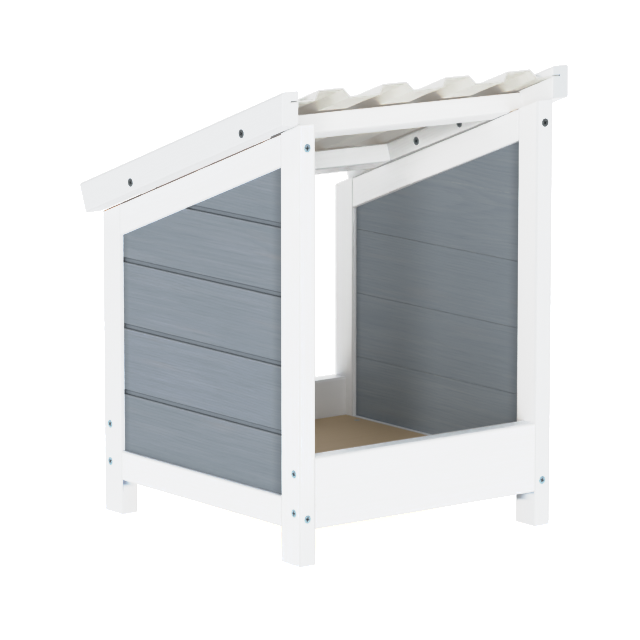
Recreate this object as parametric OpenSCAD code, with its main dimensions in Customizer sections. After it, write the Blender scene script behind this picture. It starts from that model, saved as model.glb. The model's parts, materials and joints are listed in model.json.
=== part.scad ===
// Laying nest for hens: two framed side panels of tongue-and-groove boards,
// joined by a front and a rear board, a floor on battens, and a mono-pitch
// roof frame whose two barge boards carry a ribbed plastic sheet in saw kerfs.
// Millimetres. +X right (seen from the open front), +Y to the rear, +Z up.

/* [Overall] */
// Width over the two side frames
frame_w = 375; // [340:1:420]
// Depth over the posts, front to rear
frame_d = 390; // [370:1:430]
// Height of the front posts at their front face
front_h = 512; // [490:1:560]
// Roof slope in degrees, falling to the rear
slope = 20.5; // [16:0.5:22]

/* [Timber] */
// Timber thickness
tt = 23; // [21:0.5:26]
// Timber width
tw = 36; // [34:0.5:40]
// Rounding of the long edges
edge_r = 2.4; // [1.5:0.1:3]
// Height of the feet below the bottom rails
foot_h = 42; // [36:1:60]
// Height of the front and rear boards
sill_h = 84; // [72:1:100]

/* [Wall boards] */
// Thickness of the tongue-and-groove boards
board_t = 12; // [10:0.5:13]
// Cover height of one board
board_h = 80.5; // [76:0.5:88]
// How far the boards lie behind the outer face of the frame
board_in = 5; // [3:0.5:5]
// Depth of the panel groove in the frame
groove_d = 8; // [7:0.5:10]
// Height of the set-back lip under the outer face of each board
lip_h = 5.6; // [4:0.2:6.4]
// Open gap between that lip and the shoulder of the board below
joint_gap = 1.2; // [0.8:0.2:2]
// How far the lip is set back from the outer face
reveal_d = 2.5; // [1:0.5:2.5]

/* [Roof] */
// Gap between a side frame and its barge board
barge_gap = 0.5; // [0.3:0.1:1.5]
// Length of a barge board along the slope, measured from the front post face
barge_l = 417.5; // [410:0.5:430]
// Height of the barge underside above the side frame top
barge_lift = 0.7; // [0.3:0.1:1.2]
// Start of the front roof rail along the slope
rail1_s = 56.5; // [50:0.5:64]
// Start of the rear roof rail along the slope
rail2_s = 297.5; // [285:0.5:305]
// Height of the sheet underside above the side frame top
sheet_p = 24.9; // [24.8:0.1:25.2]
// Thickness of the roof sheet
sheet_t = 1.5; // [1:0.1:1.8]
// Overall height of the ribbed profile
rib_h = 11.6; // [9:0.1:11.8]
// Distance between ribs
rib_pitch = 92.5; // [88:0.5:92.5]
// Width of a rib at its foot
rib_foot = 51.5; // [48:0.5:54]
// Width of a rib at its top
rib_top = 35.6; // [30:0.2:38]
// Front end of the sheet along the slope
sheet_s0 = -8; // [-14:0.5:-6]
// Rear end of the sheet along the slope
sheet_s1 = 408.5; // [400:0.5:408.5]
// Depth of the saw kerf in a barge board
kerf_d = 11; // [9:0.5:12]
// Height of the saw kerf
kerf_h = 2.6; // [2.4:0.1:3]

/* [Floor] */
// Thickness of the floor panel
floor_t = 12; // [9:0.5:15]

/* [Screws] */
// Shank diameter of the frame screws
screw_d = 4.5; // [4:0.1:5]
// Head diameter of the frame screws
head_d = 9.8; // [8:0.1:10]

/* [Hidden] */

big = 900;
play = 0.2;      // play of a wall board in its groove, each face
clear = 0.05;    // radial room round a screw
ct = cos(slope);
st = sin(slope);
tn = tan(slope);

xo = frame_w / 2;             // outer face of a side frame
xi = xo - tt;                 // inner face of a side frame
xm = (xo + xi) / 2;           // middle of the frame's thickness
bx0 = xo - board_in - board_t;  // inner face of the wall boards
bx1 = xo - board_in;          // outer face of the wall boards
gx = xo + barge_gap;          // inner face of a barge board
rail_z = foot_h;              // underside of the bottom rail
rail_top = foot_h + tw;       // top of the bottom rail
panel_z = rail_top - groove_d;  // groove bottom, where the lowest wall board stands
wall_z = rail_top - 5;        // inner joint line under the lowest wall board
floor_z = rail_top - floor_t; // underside of the floor
barge_p = barge_lift + tw;    // barge top above the side frame top
kerf_p = sheet_p - 0.1;       // lower lip of the kerf
kerf_end = sheet_s1 + 0.5;    // closed rear end of the kerf

// the box is centred on Y: front and rear limits of the whole object
y_lo = min(0, sheet_s0 * ct + sheet_p * st);
y_hi = barge_l * ct + barge_p * st;
y_mid = (y_lo + y_hi) / 2;

// ---------- frames of reference ----------
module place() { translate([0, -y_mid, 0]) children(); }
// origin at the front post face on the sloping top line of the side frames;
// Y runs down the slope, Z square to it
module on_roof() { translate([0, 0, front_h]) rotate([-slope, 0, 0]) children(); }
module both() { children(); mirror([1, 0, 0]) children(); }

// ---------- timber with rounded long edges ----------
module section(w, h, r) {
  translate([r, 0]) square([w - 2 * r, h]);
  translate([0, r]) square([w, h - 2 * r]);
  for (a = [r, w - r], b = [r, h - r]) translate([a, b]) circle(r = r, $fn = 32);
}
module stick_x(x0, x1, y, z, d, h, r = edge_r)
  translate([x0, y, z]) rotate([90, 0, 90]) linear_extrude(x1 - x0) section(d, h, r);
module stick_y(y0, y1, x, z, w, h, r = edge_r)
  translate([x, y1, z]) rotate([90, 0, 0]) linear_extrude(y1 - y0) section(w, h, r);
module stick_z(z0, z1, x, y, w, d, r = edge_r)
  translate([x, y, z0]) linear_extrude(z1 - z0) section(w, d, r);

// ---------- countersunk screw, head flush at z = 0, pointing down ----------
module screw(l, d = screw_d, hd = head_d) {
  rim = 0.5;
  cone = (hd - d) / 2;
  difference() {
    union() {
      translate([0, 0, -rim]) cylinder(h = rim, d = hd, $fn = 32);
      translate([0, 0, -rim - cone]) cylinder(h = cone, d1 = d, d2 = hd, $fn = 32);
      translate([0, 0, -l + d]) cylinder(h = l - d - rim - cone + 0.2, d = d, $fn = 32);
      translate([0, 0, -l]) cylinder(h = d, d1 = 0.6, d2 = d, $fn = 32);
    }
    for (a = [0, 90]) rotate([0, 0, a + 20])
      translate([-hd * 0.27, -hd * 0.055, -1.8]) cube([hd * 0.54, hd * 0.11, 3]);
  }
}
module screw_hole(l, d = screw_d, hd = head_d, sink = 0) {
  rim = 0.5 + clear;
  cone = (hd - d) / 2;
  translate([0, 0, -rim]) cylinder(h = rim + 0.5 + sink, d = hd + 2 * clear, $fn = 32);
  translate([0, 0, -rim - cone]) cylinder(h = cone + 0.01, d1 = d + 2 * clear, d2 = hd + 2 * clear, $fn = 32);
  translate([0, 0, -l - 0.3]) cylinder(h = l, d = d + 2 * clear, $fn = 32);
}

// ---------- screw positions, right-hand half (mirrored for the left) ----------
frame_l = 60;
board_l = 60;
side_l = 60;
batten_l = 40;
fix_l = 45;
fbat_l = 40;
floor_l = 30;
low_z = foot_h + 13;                  // lower frame screws
high_z = front_h - 27;                // upper front frame screw
tilt_sink = 1.9;                      // sinking of the tilted rear screw
sill_zs = [foot_h + 19.5, foot_h + 65.5];
barge_ss = [rail1_s + 23, rail2_s + 17];
inner_ss = [152.5, 240.5];
fix_ss = [112, 279];
fbat_us = [90, frame_d / 2, frame_d - 90];
floor_us = [60, frame_d - 60];

module at_front_frame() {
  for (z = [low_z, high_z]) translate([xm, 0, z]) rotate([90, 0, 0]) children();
}
module at_rear_frame_low() { translate([xm, frame_d, low_z]) rotate([-90, 0, 0]) children(); }
// the upper rear screw runs parallel to the slope, above the panel groove
module at_rear_frame_high() {
  translate([xm, frame_d, front_h - frame_d * tn - 14 / ct]) rotate([-90 - slope, 0, 0])
    translate([0, 0, -tilt_sink]) children();
}
module at_front_sill() { for (z = sill_zs) translate([xo, tt / 2, z]) rotate([0, 90, 0]) children(); }
module at_rear_sill() { for (z = sill_zs) translate([xo, frame_d - tt / 2, z]) rotate([0, 90, 0]) children(); }
module at_barge() { on_roof() for (s = barge_ss) translate([gx + tt, s, 12.5]) rotate([0, 90, 0]) children(); }
module at_batten() { on_roof() for (s = inner_ss) translate([gx - tt, s, tt / 2]) rotate([0, -90, 0]) children(); }
module at_fixing() { on_roof() for (s = fix_ss) translate([xm, s, tt]) children(); }
module at_floor_batten() { for (u = fbat_us) translate([xi - tt, u, floor_z - tt / 2]) rotate([0, -90, 0]) children(); }
module at_floor() { for (u = floor_us) translate([xi - tt / 2, u, rail_top]) children(); }

// ---------- side frame, right-hand ----------
// top line of the wall panel: groove bottom in the top rail, less a margin
function panel_top(u, m = 0) = front_h - u * tn - (tw - groove_d + m) / ct;

module yz_plate(x0, x1, pts) translate([x0, 0, 0]) rotate([90, 0, 90]) linear_extrude(x1 - x0) polygon(pts);

// the groove that the wall boards stand in, all round the frame
module panel_groove() {
  u0 = tw - groove_d - 0.3;
  u1 = frame_d - tw + groove_d + 0.3;
  yz_plate(bx0 - play, bx1 + play,
    [[u0, panel_z], [u1, panel_z], [u1, panel_top(u1)], [u0, panel_top(u0)]]);
}
// everything above the sloping top of the side frame
module above_slope() { on_roof() translate([0, -200, 0]) cube([big, big, big]); }

module front_post() {
  difference() {
    stick_z(0, front_h + 5, xi, 0, tt, tw);
    above_slope();
    panel_groove();
    at_front_frame() screw_hole(frame_l);
    at_front_sill() screw_hole(board_l);
  }
}
module rear_post() {
  difference() {
    stick_z(0, front_h - (frame_d - tw) * tn + 5, xi, frame_d - tw, tt, tw);
    above_slope();
    panel_groove();
    at_rear_frame_low() screw_hole(frame_l);
    at_rear_frame_high() screw_hole(frame_l, sink = 6);
    at_rear_sill() screw_hole(board_l);
  }
}
module top_rail() {
  difference() {
    on_roof() stick_y(0, frame_d / ct, xi, -tw, tt, tw);
    translate([0, -big + tw, 0]) cube([big, big, big]);
    translate([0, frame_d - tw, 0]) cube([big, big, big]);
    panel_groove();
    at_front_frame() screw_hole(frame_l);
    at_rear_frame_high() screw_hole(frame_l);
    at_fixing() screw_hole(fix_l);
  }
}
module bottom_rail() {
  difference() {
    stick_y(tw, frame_d - tw, xi, rail_z, tt, tw);
    panel_groove();
    at_front_frame() screw_hole(frame_l);
    at_rear_frame_low() screw_hole(frame_l);
    at_floor_batten() screw_hole(fbat_l);
  }
}

// ---------- wall boards: stepped shadow joint outside, fine joint inside ----------
tong_t = 4;      // tongue thickness
tong_h = 5.5;    // tongue height
tong_x = 5;      // middle of the tongue from the inner face
cb = 0.9;        // outer arris
cs = 0.4;        // inner arris
mock_d = 5;      // depth of the narrow slot in the top board's mock joint

shoulder = lip_h + joint_gap;   // outer shoulder below the inner joint line
// the outer face at a joint line z, milled into a wide board so that it looks like two
function mock_joint(z) = [
  [board_t, z - shoulder - cb], [board_t - cb, z - shoulder],
  [board_t - mock_d, z - shoulder], [board_t - mock_d, z - lip_h],
  [board_t - reveal_d, z - lip_h], [board_t - reveal_d, z],
  [board_t - cs, z], [board_t, z + cs]
];
function board_outline(h, mock = []) = concat([
  [cs, 0],
  [tong_x - tong_t / 2 - 0.15, 0], [tong_x - tong_t / 2 - 0.15, tong_h + 0.5],
  [tong_x + tong_t / 2 + 0.15, tong_h + 0.5], [tong_x + tong_t / 2 + 0.15, -lip_h],
  [board_t - reveal_d, -lip_h], [board_t - reveal_d, 0],
  [board_t - cs, 0], [board_t, cs]],
  mock, [
  [board_t, h - shoulder - cb], [board_t - cb, h - shoulder],
  [tong_x + tong_t / 2, h - shoulder], [tong_x + tong_t / 2, h + tong_h - 0.5],
  [tong_x + tong_t / 2 - 0.5, h + tong_h], [tong_x - tong_t / 2 + 0.5, h + tong_h],
  [tong_x - tong_t / 2, h + tong_h - 0.5], [tong_x - tong_t / 2, h],
  [cs, h], [0, h - cs], [0, cs]
]);
// boards 1 to 3 cover board_h each; board 4 is a wide one that runs up into the top rail
module wall_board(i) {
  u0 = tw - groove_d;
  u1 = frame_d - tw + groove_d;
  z0 = wall_z + (i - 1) * board_h;
  top = i == 4;
  intersection() {
    translate([bx0, u1, z0]) rotate([90, 0, 0]) linear_extrude(u1 - u0)
      polygon(top ? board_outline(3 * board_h, mock_joint(board_h)) : board_outline(board_h));
    yz_plate(bx0 - 1, bx1 + 1,
      [[u0 - 1, panel_z], [u1 + 1, panel_z], [u1 + 1, panel_top(u1 + 1, 0.3)], [u0 - 1, panel_top(u0 - 1, 0.3)]]);
  }
}

// ---------- roof frame, right-hand barge ----------
module barge() {
  difference() {
    on_roof() stick_y(-40, barge_l, gx, barge_lift, tt, tw);
    // plumb front end
    translate([0, -big + 1, 0]) cube([big, big, big]);
    // saw kerf, open at the front end and closed at the rear end
    on_roof() translate([gx - 5, -80, kerf_p]) cube([kerf_d + 5, kerf_end + 80, kerf_h]);
    at_barge() screw_hole(side_l);
    at_batten() screw_hole(batten_l);
  }
}
module roof_rail(s, bend = 0) {
  difference() {
    on_roof() stick_x(-gx + 0.1, gx - 0.1, s, 0, tw, tt);
    both() at_barge() screw_hole(side_l);
  }
}
module roof_batten() {
  difference() {
    on_roof() stick_y(rail1_s + tw, rail2_s, gx - tt, 0, tt, tt);
    at_batten() screw_hole(batten_l);
    at_fixing() screw_hole(fix_l);
  }
}

// ---------- ribbed sheet ----------
sheet_w = 2 * (gx + kerf_d - 1);
fl = atan((rib_h - sheet_t) / ((rib_foot - rib_top) / 2));   // flank angle
sh = sheet_t * tan(fl / 2);                                  // corner shift of the underside
function rib_x(i) = (i - 1.5) * rib_pitch;
function rib_up(i) = [
  [rib_x(i) - rib_foot / 2, sheet_t], [rib_x(i) - rib_top / 2, rib_h],
  [rib_x(i) + rib_top / 2, rib_h], [rib_x(i) + rib_foot / 2, sheet_t]];
function rib_dn(i) = [
  [rib_x(i) + rib_foot / 2 - sh, 0], [rib_x(i) + rib_top / 2 - sh, rib_h - sheet_t],
  [rib_x(i) - rib_top / 2 + sh, rib_h - sheet_t], [rib_x(i) - rib_foot / 2 + sh, 0]];
sheet_pts = concat(
  [[-sheet_w / 2, 0], [-sheet_w / 2, sheet_t]],
  [for (i = [0:3]) each rib_up(i)],
  [[sheet_w / 2, sheet_t], [sheet_w / 2, 0]],
  [for (i = [3:-1:0]) each rib_dn(i)]);

// ---------- nodes ----------
module left_front_post() { color("whitesmoke") place() mirror([1, 0, 0]) front_post(); }
module left_rear_post() { color("whitesmoke") place() mirror([1, 0, 0]) rear_post(); }
module left_top_rail() { color("whitesmoke") place() mirror([1, 0, 0]) top_rail(); }
module left_bottom_rail() { color("whitesmoke") place() mirror([1, 0, 0]) bottom_rail(); }
module left_board_1() { color("slategray") place() mirror([1, 0, 0]) wall_board(1); }
module left_board_2() { color("slategray") place() mirror([1, 0, 0]) wall_board(2); }
module left_board_3() { color("slategray") place() mirror([1, 0, 0]) wall_board(3); }
module left_board_4() { color("slategray") place() mirror([1, 0, 0]) wall_board(4); }
module right_front_post() { color("whitesmoke") place() front_post(); }
module right_rear_post() { color("whitesmoke") place() rear_post(); }
module right_top_rail() { color("whitesmoke") place() top_rail(); }
module right_bottom_rail() { color("whitesmoke") place() bottom_rail(); }
module right_board_1() { color("slategray") place() wall_board(1); }
module right_board_2() { color("slategray") place() wall_board(2); }
module right_board_3() { color("slategray") place() wall_board(3); }
module right_board_4() { color("slategray") place() wall_board(4); }

module front_board() {
  color("white") place() difference() {
    stick_x(-xi, xi, 0, foot_h, tt, sill_h, edge_r + 0.6);
    both() at_front_sill() screw_hole(board_l);
  }
}
module rear_board() {
  color("white") place() difference() {
    stick_x(-xi, xi, frame_d - tt, foot_h, tt, sill_h, edge_r + 0.6);
    both() at_rear_sill() screw_hole(board_l);
  }
}
module floor_panel() {
  color("burlywood") place() difference() {
    translate([-xi + 0.8, tt + 1, floor_z]) cube([2 * xi - 1.6, frame_d - 2 * tt - 2, floor_t]);
    both() at_floor() screw_hole(floor_l, 4, 8);
  }
}
module floor_batten() {
  difference() {
    stick_y(tt + 2, frame_d - tt - 2, xi - tt, floor_z - tt, tt, tt, 1.5);
    at_floor_batten() screw_hole(fbat_l);
    at_floor() screw_hole(floor_l, 4, 8);
  }
}
module left_floor_batten() { color("tan") place() mirror([1, 0, 0]) floor_batten(); }
module right_floor_batten() { color("tan") place() floor_batten(); }

module left_barge_board() { color("white") place() mirror([1, 0, 0]) barge(); }
module right_barge_board() { color("white") place() barge(); }
module front_roof_rail() { color("gainsboro") place() roof_rail(rail1_s); }
module rear_roof_rail() { color("gainsboro") place() roof_rail(rail2_s); }
module left_roof_batten() { color("gainsboro") place() mirror([1, 0, 0]) roof_batten(); }
module right_roof_batten() { color("gainsboro") place() roof_batten(); }

module roof_sheet() {
  color("ivory") place() on_roof() translate([0, sheet_s1, sheet_p])
    rotate([90, 0, 0]) linear_extrude(sheet_s1 - sheet_s0) polygon(sheet_pts);
}

module frame_screws() {
  color("silver") place() both() {
    at_front_frame() screw(frame_l);
    at_rear_frame_low() screw(frame_l);
    at_rear_frame_high() screw(frame_l);
  }
}
module board_screws() {
  color("silver") place() both() { at_front_sill() screw(board_l); at_rear_sill() screw(board_l); }
}
module barge_screws() { color("silver") place() both() at_barge() screw(side_l); }
module roof_batten_screws() { color("silver") place() both() at_batten() screw(batten_l); }
module roof_fixing_screws() { color("silver") place() both() at_fixing() screw(fix_l); }
module floor_batten_screws() { color("silver") place() both() at_floor_batten() screw(fbat_l); }
module floor_screws() { color("silver") place() both() at_floor() screw(floor_l, 4, 8); }

left_front_post();
left_rear_post();
left_top_rail();
left_bottom_rail();
left_board_1();
left_board_2();
left_board_3();
left_board_4();
right_front_post();
right_rear_post();
right_top_rail();
right_bottom_rail();
right_board_1();
right_board_2();
right_board_3();
right_board_4();
front_board();
rear_board();
floor_panel();
left_floor_batten();
right_floor_batten();
left_barge_board();
right_barge_board();
front_roof_rail();
rear_roof_rail();
left_roof_batten();
right_roof_batten();
roof_sheet();
frame_screws();
board_screws();
barge_screws();
roof_batten_screws();
roof_fixing_screws();
floor_batten_screws();
floor_screws();
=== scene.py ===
import json
import math
import random

import bpy
import bmesh
import numpy as np
from mathutils import Matrix, Vector


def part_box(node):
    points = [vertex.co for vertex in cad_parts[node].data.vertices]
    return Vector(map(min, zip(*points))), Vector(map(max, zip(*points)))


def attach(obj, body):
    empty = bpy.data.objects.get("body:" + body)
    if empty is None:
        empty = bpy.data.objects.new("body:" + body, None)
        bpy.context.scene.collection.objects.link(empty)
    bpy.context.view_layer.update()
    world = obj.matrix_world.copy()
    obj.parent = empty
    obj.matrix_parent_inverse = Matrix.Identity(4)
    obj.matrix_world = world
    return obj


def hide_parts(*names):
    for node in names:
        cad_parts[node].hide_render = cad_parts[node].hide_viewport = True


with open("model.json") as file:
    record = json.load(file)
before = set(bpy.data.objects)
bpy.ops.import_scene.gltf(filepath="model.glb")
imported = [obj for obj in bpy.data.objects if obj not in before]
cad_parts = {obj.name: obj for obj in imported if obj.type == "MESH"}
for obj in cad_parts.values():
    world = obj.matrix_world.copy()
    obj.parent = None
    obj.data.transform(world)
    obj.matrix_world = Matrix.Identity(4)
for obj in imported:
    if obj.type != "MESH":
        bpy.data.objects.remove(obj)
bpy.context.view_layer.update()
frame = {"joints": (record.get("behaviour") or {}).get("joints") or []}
scene = bpy.context.scene

# ------------------------------------------------------------------ frame
# Millimetres: x as in the row, u = distance back from the front post face, z up.
# The roof has its own frame: s runs down the slope, p stands square to it.
MM = 0.001
box_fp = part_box("left_front_post")
YM = -box_fp[0].y / MM                      # u of the row's Y = 0
H = box_fp[1].z / MM                        # front post height at its front face
XO = -box_fp[0].x / MM                      # outer face of a side frame
TT = (box_fp[1].x - box_fp[0].x) / MM       # timber thickness
TW = (box_fp[1].y - box_fp[0].y) / MM       # timber width
XI = XO - TT
XM = (XO + XI) / 2
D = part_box("left_rear_post")[1].y / MM + YM  # depth over the posts
axis = Vector(frame["joints"][0]["axis"]).normalized()
CT, ST = -axis.y, axis.z
TN = ST / CT
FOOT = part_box("left_bottom_rail")[0].z / MM
RAIL = FOOT + TW
SILL = (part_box("front_board")[1].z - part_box("front_board")[0].z) / MM
FLOOR_T = (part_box("floor_panel")[1].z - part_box("floor_panel")[0].z) / MM
BX0, BX1 = XO - 17.0, XO - 5.0              # wall boards, inner and outer face
GX = XO + 0.5                               # inner face of a barge board
PANEL_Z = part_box("left_board_1")[0].z / MM
LIP, GAP, RECESS, BOARD_H, BOARD_T = 5.6, 0.55, 2.5, 80.5, 12.0
WALL_Z = RAIL - 5.0                         # inner joint line under the lowest wall board
GROOVE = RAIL - PANEL_Z
EX, EY, EZ = Vector((1, 0, 0)), Vector((0, 1, 0)), Vector((0, 0, 1))
ES = Vector((0, CT, -ST))                   # down the slope
EP = Vector((0, ST, CT))                    # square to the roof


def P(x, u, z):
    return Vector((x, u - YM, z)) * MM


def R(x, s, p):
    return P(x, s * CT + p * ST, H - s * ST + p * CT)


rnd = random.Random(41)


# ------------------------------------------------------------------ mesh tools
def link(name, bm, smooth_deg=32):
    me = bpy.data.meshes.new(name)
    bm.to_mesh(me)
    bm.free()
    ob = bpy.data.objects.new(name, me)
    scene.collection.objects.link(ob)
    return ob


def mesh_faces(bm, verts, faces):
    vs = [bm.verts.new(v) for v in verts]
    for f in faces:
        bm.faces.new([vs[i] for i in f])
    return vs


def evaluated(ob):
    """The object's mesh with its modifiers applied."""
    dg = bpy.context.evaluated_depsgraph_get()
    me = bpy.data.meshes.new_from_object(ob.evaluated_get(dg))
    old = ob.data
    ob.modifiers.clear()
    ob.data = me
    bpy.data.meshes.remove(old)


def cut(ob, cutter_bm):
    """Takes the cutter away from ob, with the exact solver."""
    bmesh.ops.recalc_face_normals(cutter_bm, faces=cutter_bm.faces)
    c = link("cutter", cutter_bm)
    m = ob.modifiers.new("cut", "BOOLEAN")
    m.operation = "DIFFERENCE"
    m.solver = "EXACT"
    m.use_self = True
    m.object = c
    evaluated(ob)
    me = c.data
    bpy.data.objects.remove(c)
    bpy.data.meshes.remove(me)


def shade(ob, deg=33):
    """Smooth faces, sharp edges by angle, and normals weighted by face area."""
    bm = bmesh.new()
    bm.from_mesh(ob.data)
    lim = math.radians(deg)
    for f in bm.faces:
        f.smooth = True
    for e in bm.edges:
        e.smooth = len(e.link_faces) == 2 and e.calc_face_angle(0.0) < lim
    bm.to_mesh(ob.data)
    bm.free()
    m = ob.modifiers.new("normals", "WEIGHTED_NORMAL")
    m.mode = "FACE_AREA"
    m.keep_sharp = True
    evaluated(ob)


def tidy(ob):
    bm = bmesh.new()
    bm.from_mesh(ob.data)
    bmesh.ops.remove_doubles(bm, verts=bm.verts, dist=2e-6)
    bmesh.ops.dissolve_degenerate(bm, edges=bm.edges, dist=1e-6)
    bmesh.ops.recalc_face_normals(bm, faces=bm.faces)
    bm.to_mesh(ob.data)
    bm.free()


def attributes(ob, o, e1, e2, e3, dims, offset, tone):
    """Per-vertex coordinates for the materials: grain (along, across, across, with the piece's own offset), loc (the same, from the piece's corner), dim (its size) and tone."""
    me = ob.data
    n = len(me.vertices)
    co = np.zeros(n * 3, np.float32)
    me.vertices.foreach_get("co", co)
    co = co.reshape(-1, 3).astype(float) - np.array(o)
    basis = np.array([list(e3), list(e1), list(e2)], float)
    loc = co @ basis.T
    for key, val in (("loc", loc), ("grain", loc + np.array(offset)), ("dim", np.tile(np.array(dims, float), (n, 1)))):
        a = me.attributes.get(key) or me.attributes.new(key, "FLOAT_VECTOR", "POINT")
        a.data.foreach_set("vector", val.astype(np.float32).ravel())
    a = me.attributes.get("tone") or me.attributes.new("tone", "FLOAT", "POINT")
    a.data.foreach_set("value", np.asarray(tone(loc / MM) if callable(tone) else np.full(n, tone), np.float32))


def rounded(w, h, r, c, seg=5, support=1.2):
    """A rounded rectangle w x h, set in by c, as a ring of points with a support point on each flat beside each corner."""
    pts = []
    rr = max(r - c, 0.05)
    cen = [(w - c - rr, c + rr, -90), (w - c - rr, h - c - rr, 0), (c + rr, h - c - rr, 90), (c + rr, c + rr, 180)]
    sup = min(support, (min(w, h) - 2 * (c + rr)) * 0.3)
    for cx, cy, a0 in cen:
        d0 = math.radians(a0)
        # support point before the corner
        pts.append((cx + rr * math.cos(d0) + sup * math.sin(d0), cy + rr * math.sin(d0) - sup * math.cos(d0)))
        for k in range(seg + 1):
            a = math.radians(a0 + 90 * k / seg)
            pts.append((cx + rr * math.cos(a), cy + rr * math.sin(a)))
        d1 = math.radians(a0 + 90)
        pts.append((cx + rr * math.cos(d1) - sup * math.sin(d1), cy + rr * math.sin(d1) + sup * math.cos(d1)))
    return pts


def bar(name, o, e1, e2, e3, w, h, length, r=2.4, plane_a=None, plane_b=None, ca=0.35, cb=0.35, step=24.0, wob=0.0, near=None):
    """A planed timber: a rounded section along e3, each end eased by a small chamfer, cut square or by a plane (point, normal)."""
    o = Vector(o)
    t_lo = []
    t_hi = []

    def span(a, b):
        base = o + (e1 * a + e2 * b) * MM
        ta = 0.0
        tb = length * MM
        if plane_a:
            ta = (plane_a[0] - base).dot(plane_a[1]) / e3.dot(plane_a[1])
        if plane_b:
            tb = (plane_b[0] - base).dot(plane_b[1]) / e3.dot(plane_b[1])
        return base, ta, tb

    n_mid = max(1, int(length / step))
    rings = [("a", ca)]
    rings += [("m", k / n_mid) for k in range(n_mid + 1)]
    if near:
        # one more ring this far below the upper end
        rings.insert(-1, ("m", 1 - near / length))
    rings += [("b", cb)]
    full = rounded(w, h, r, 0.0)
    ina = rounded(w, h, r, ca)
    inb = rounded(w, h, r, cb)
    n = len(full)
    ph = [rnd.uniform(0, 6.28) for _ in range(4)]
    verts = []
    for kind, v in rings:
        ring = ina if kind == "a" else inb if kind == "b" else full
        for i, (a, b) in enumerate(ring):
            base, ta, tb = span(a, b)
            if kind == "a":
                t = ta
            elif kind == "b":
                t = tb
            else:
                t = ta + ca * MM + (tb - ta - (ca + cb) * MM) * v
            p = base + e3 * t
            if wob and kind == "m":
                # the rounded edges are hand-sanded: they wander a few hundredths
                k = (i * 4) // n
                d = wob * MM * math.sin(ph[k] + t * 37 * (1 + 0.3 * k)) * (0.5 + 0.5 * math.sin(ph[(k + 1) % 4] + t * 91))
                cxy = Vector((w / 2 - a, h / 2 - b)).normalized()
                corner = 1.0 if (i % (n // 4)) not in (0, n // 4 - 1) else 0.0
                p = p + (e1 * cxy.x + e2 * cxy.y) * abs(d) * corner
            verts.append(p)
    faces = []
    for k in range(len(rings) - 1):
        for i in range(n):
            j = (i + 1) % n
            faces.append((k * n + i, k * n + j, (k + 1) * n + j, (k + 1) * n + i))
    faces.append(tuple(reversed(range(n))))
    last = (len(rings) - 1) * n
    faces.append(tuple(last + i for i in range(n)))
    bm = bmesh.new()
    mesh_faces(bm, verts, faces)
    bmesh.ops.recalc_face_normals(bm, faces=bm.faces)
    ob = link(name, bm)
    ob["frame"] = [*o, *e1, *e2, *e3, w * MM, h * MM, length * MM]
    return ob


def lathe(bm, m, prof, seg=40):
    """A closed solid of revolution about local Z, placed by matrix m. prof is (radius, z) in mm from the axis to the axis."""
    rings = []
    for r, z in prof:
        if r < 1e-6:
            rings.append([bm.verts.new(m @ Vector((0, 0, z * MM)))])
        else:
            rings.append([bm.verts.new(m @ Vector((r * MM * math.cos(2 * math.pi * k / seg), r * MM * math.sin(2 * math.pi * k / seg), z * MM))) for k in range(seg)])
    for a, b in zip(rings, rings[1:]):
        for k in range(seg):
            j = (k + 1) % seg
            if len(a) == 1:
                bm.faces.new((a[0], b[k], b[j]))
            elif len(b) == 1:
                bm.faces.new((a[j], a[k], b[0]))
            else:
                bm.faces.new((a[k], b[k], b[j], a[j]))


def box_in(bm, o, e1, e2, e3, w, h, length):
    vs = [o + (e1 * a * w + e2 * b * h + e3 * c * length) * MM for a in (0, 1) for b in (0, 1) for c in (0, 1)]
    mesh_faces(bm, vs, [(0, 1, 3, 2), (4, 6, 7, 5), (0, 4, 5, 1), (2, 3, 7, 6), (0, 2, 6, 4), (1, 5, 7, 3)])


def prism(bm, pts, offset):
    """Polygon pts (world points) swept by the vector offset."""
    n = len(pts)
    vs = list(pts) + [p + offset for p in pts]
    mesh_faces(bm, vs, [tuple(range(n)), tuple(reversed(range(n, 2 * n)))] + [(i, (i + 1) % n, n + (i + 1) % n, n + i) for i in range(n)])


def facing(point, direction, turn=0.0):
    """A matrix whose local +Z points along direction, out of the timber, with its origin at the point."""
    z = Vector(direction).normalized()
    x = z.orthogonal().normalized()
    y = z.cross(x)
    m = Matrix((x, y, z)).transposed().to_4x4()
    m.translation = point
    return m @ Matrix.Rotation(turn, 4, "Z")


HOLE_ROOM = 0.05


def countersink(bm, m, length, d=4.5, hd=9.8, sink=0.0):
    """A screw's hole: shank bore, cone, and a faint broken rim where it enters the face."""
    rim = 0.5 + HOLE_ROOM
    hr, sr = hd / 2 + HOLE_ROOM, d / 2 + HOLE_ROOM
    cone = (hd - d) / 2
    lathe(bm, m, [(0, -length - 0.3), (sr, -length - 0.3), (sr, -rim - cone), (hr, -rim), (hr, -0.12 + 0), (hr + 0.18, 0.02), (hr + 0.18, 3 + sink), (0, 3 + sink)], seg=36)


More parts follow.
